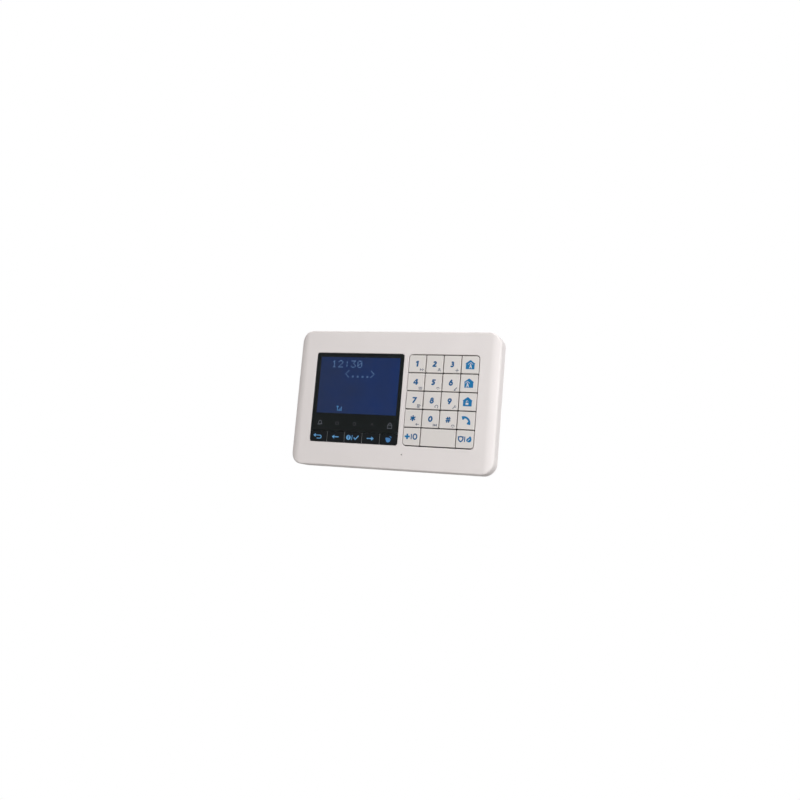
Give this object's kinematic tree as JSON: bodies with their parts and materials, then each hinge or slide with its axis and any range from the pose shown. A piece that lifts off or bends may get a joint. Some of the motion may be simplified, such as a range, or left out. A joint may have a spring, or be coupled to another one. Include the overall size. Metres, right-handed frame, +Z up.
{
  "type": "alarm keypad panel",
  "caption": "Wall-mounted alarm keypad: white cover with rolled sides, black display window over navigation keys, square digit keys, and a bracket it hangs on.",
  "frame": {"origin": "middle of the wall bracket's back face, on the wall", "axes": "+Y out of the back into the wall, -Y towards the user, +X to the user's right along the long side, +Z up"},
  "size_m": [0.165, 0.0283, 0.107],
  "materials": {
    "cover_white": "satin, fine moulded texture",
    "key_white": "satin",
    "smoke_lens": "glossy, clear over the display",
    "key_black": "glossy with lit legends",
    "rib_grey": "matte",
    "display_blue": "lit from behind",
    "diffuser": "translucent",
    "black_plastic": "matte",
    "guide_grey": "matte",
    "silicone": "matte",
    "black_rubber": "matte",
    "board_green": "solder mask",
    "screw_steel": "zinc plated",
    "spring_steel": "bright",
    "contact_gold": "gold plated",
    "copper_wire": "enamelled",
    "light_white": "glossy",
    "chip_black": "matte",
    "shield_tin": "tinned",
    "mic_can": "satin",
    "terminal_green": "matte",
    "plunger_ivory": "matte",
    "cell_blue": "printed sleeve, bare of text",
    "contact_steel": "nickel plated",
    "bracket_white": "matte, moulded"
  },
  "bodies": {
    "bracket": {"wall_bracket": "bracket_white"},
    "unit": {"front_cover": "cover_white", "rear_cover": "cover_white", "case_screws": "screw_steel", "display_window": "smoke_lens", "window_gasket": "black_rubber", "display_frame": "black_plastic", "display_glass": "display_blue", "display_backlight": "diffuser", "display_connector": "silicone", "status_shroud": "black_plastic", "status_lights": "light_white", "nav_key_guide": "rib_grey", "key_guide": "guide_grey", "key_mat": "silicone", "nav_key_mat": "silicone", "circuit_board": "board_green", "board_screws": "screw_steel", "contact_pads": "contact_gold", "key_lights": "light_white", "processor": "chip_black", "radio_module": "shield_tin", "antenna": "copper_wire", "sounder": "black_plastic", "terminal_block": "terminal_green", "microphone": "mic_can", "microphone_boot": "black_rubber", "tamper_switch": "black_plastic", "tamper_spring": "spring_steel", "battery_cells": "cell_blue", "battery_contacts": "contact_steel"},
    "key_emergency": {"key_emergency": "key_white"},
    "key_wide": {"key_wide": "key_white"},
    "key_fire": {"key_fire": "key_white"},
    "key_star": {"key_star": "key_white"},
    "key_0": {"key_0": "key_white"},
    "key_hash": {"key_hash": "key_white"},
    "key_phone": {"key_phone": "key_white"},
    "key_7": {"key_7": "key_white"},
    "key_8": {"key_8": "key_white"},
    "key_9": {"key_9": "key_white"},
    "key_disarm": {"key_disarm": "key_white"},
    "key_4": {"key_4": "key_white"},
    "key_5": {"key_5": "key_white"},
    "key_6": {"key_6": "key_white"},
    "key_arm_home": {"key_arm_home": "key_white"},
    "key_1": {"key_1": "key_white"},
    "key_2": {"key_2": "key_white"},
    "key_3": {"key_3": "key_white"},
    "key_arm_away": {"key_arm_away": "key_white"},
    "nav_key_back": {"nav_key_back": "key_black"},
    "nav_key_left": {"nav_key_left": "key_black"},
    "nav_key_ok": {"nav_key_ok": "key_black"},
    "nav_key_right": {"nav_key_right": "key_black"},
    "nav_key_guard": {"nav_key_guard": "key_black"},
    "battery_hatch": {"battery_hatch": "cover_white"},
    "tamper_plunger": {"tamper_plunger": "plunger_ivory"}
  },
  "joints": [
    {"name": "unit_lift", "type": "slide", "parent": "bracket", "child": "unit", "axis": [0, 0, 1], "range_m": [0, 0.005]},
    {"name": "key_emergency_press", "type": "slide", "parent": "unit", "child": "key_emergency", "axis": [0, 1, 0], "range_m": [0, 0.0009], "stiffness_N_per_m": 1500},
    {"name": "key_wide_press", "type": "slide", "parent": "unit", "child": "key_wide", "axis": [0, 1, 0], "range_m": [0, 0.0009], "stiffness_N_per_m": 1500},
    {"name": "key_fire_press", "type": "slide", "parent": "unit", "child": "key_fire", "axis": [0, 1, 0], "range_m": [0, 0.0009], "stiffness_N_per_m": 1500},
    {"name": "key_star_press", "type": "slide", "parent": "unit", "child": "key_star", "axis": [0, 1, 0], "range_m": [0, 0.0009], "stiffness_N_per_m": 1500},
    {"name": "key_0_press", "type": "slide", "parent": "unit", "child": "key_0", "axis": [0, 1, 0], "range_m": [0, 0.0009], "stiffness_N_per_m": 1500},
    {"name": "key_hash_press", "type": "slide", "parent": "unit", "child": "key_hash", "axis": [0, 1, 0], "range_m": [0, 0.0009], "stiffness_N_per_m": 1500},
    {"name": "key_phone_press", "type": "slide", "parent": "unit", "child": "key_phone", "axis": [0, 1, 0], "range_m": [0, 0.0009], "stiffness_N_per_m": 1500},
    {"name": "key_7_press", "type": "slide", "parent": "unit", "child": "key_7", "axis": [0, 1, 0], "range_m": [0, 0.0009], "stiffness_N_per_m": 1500},
    {"name": "key_8_press", "type": "slide", "parent": "unit", "child": "key_8", "axis": [0, 1, 0], "range_m": [0, 0.0009], "stiffness_N_per_m": 1500},
    {"name": "key_9_press", "type": "slide", "parent": "unit", "child": "key_9", "axis": [0, 1, 0], "range_m": [0, 0.0009], "stiffness_N_per_m": 1500},
    {"name": "key_disarm_press", "type": "slide", "parent": "unit", "child": "key_disarm", "axis": [0, 1, 0], "range_m": [0, 0.0009], "stiffness_N_per_m": 1500},
    {"name": "key_4_press", "type": "slide", "parent": "unit", "child": "key_4", "axis": [0, 1, 0], "range_m": [0, 0.0009], "stiffness_N_per_m": 1500},
    {"name": "key_5_press", "type": "slide", "parent": "unit", "child": "key_5", "axis": [0, 1, 0], "range_m": [0, 0.0009], "stiffness_N_per_m": 1500},
    {"name": "key_6_press", "type": "slide", "parent": "unit", "child": "key_6", "axis": [0, 1, 0], "range_m": [0, 0.0009], "stiffness_N_per_m": 1500},
    {"name": "key_arm_home_press", "type": "slide", "parent": "unit", "child": "key_arm_home", "axis": [0, 1, 0], "range_m": [0, 0.0009], "stiffness_N_per_m": 1500},
    {"name": "key_1_press", "type": "slide", "parent": "unit", "child": "key_1", "axis": [0, 1, 0], "range_m": [0, 0.0009], "stiffness_N_per_m": 1500},
    {"name": "key_2_press", "type": "slide", "parent": "unit", "child": "key_2", "axis": [0, 1, 0], "range_m": [0, 0.0009], "stiffness_N_per_m": 1500},
    {"name": "key_3_press", "type": "slide", "parent": "unit", "child": "key_3", "axis": [0, 1, 0], "range_m": [0, 0.0009], "stiffness_N_per_m": 1500},
    {"name": "key_arm_away_press", "type": "slide", "parent": "unit", "child": "key_arm_away", "axis": [0, 1, 0], "range_m": [0, 0.0009], "stiffness_N_per_m": 1500},
    {"name": "nav_key_back_press", "type": "slide", "parent": "unit", "child": "nav_key_back", "axis": [0, 1, 0], "range_m": [0, 0.0009], "stiffness_N_per_m": 1500},
    {"name": "nav_key_left_press", "type": "slide", "parent": "unit", "child": "nav_key_left", "axis": [0, 1, 0], "range_m": [0, 0.0009], "stiffness_N_per_m": 1500},
    {"name": "nav_key_ok_press", "type": "slide", "parent": "unit", "child": "nav_key_ok", "axis": [0, 1, 0], "range_m": [0, 0.0009], "stiffness_N_per_m": 1500},
    {"name": "nav_key_right_press", "type": "slide", "parent": "unit", "child": "nav_key_right", "axis": [0, 1, 0], "range_m": [0, 0.0009], "stiffness_N_per_m": 1500},
    {"name": "nav_key_guard_press", "type": "slide", "parent": "unit", "child": "nav_key_guard", "axis": [0, 1, 0], "range_m": [0, 0.0009], "stiffness_N_per_m": 1500},
    {"name": "battery_hatch_slide", "type": "slide", "parent": "unit", "child": "battery_hatch", "axis": [-1, 0, 0], "range_m": [0, 0.008]},
    {"name": "tamper_press", "type": "slide", "parent": "unit", "child": "tamper_plunger", "axis": [0, -1, 0], "range_m": [0, 0.001], "stiffness_N_per_m": 300, "deforming": ["tamper_spring"]}
  ]
}
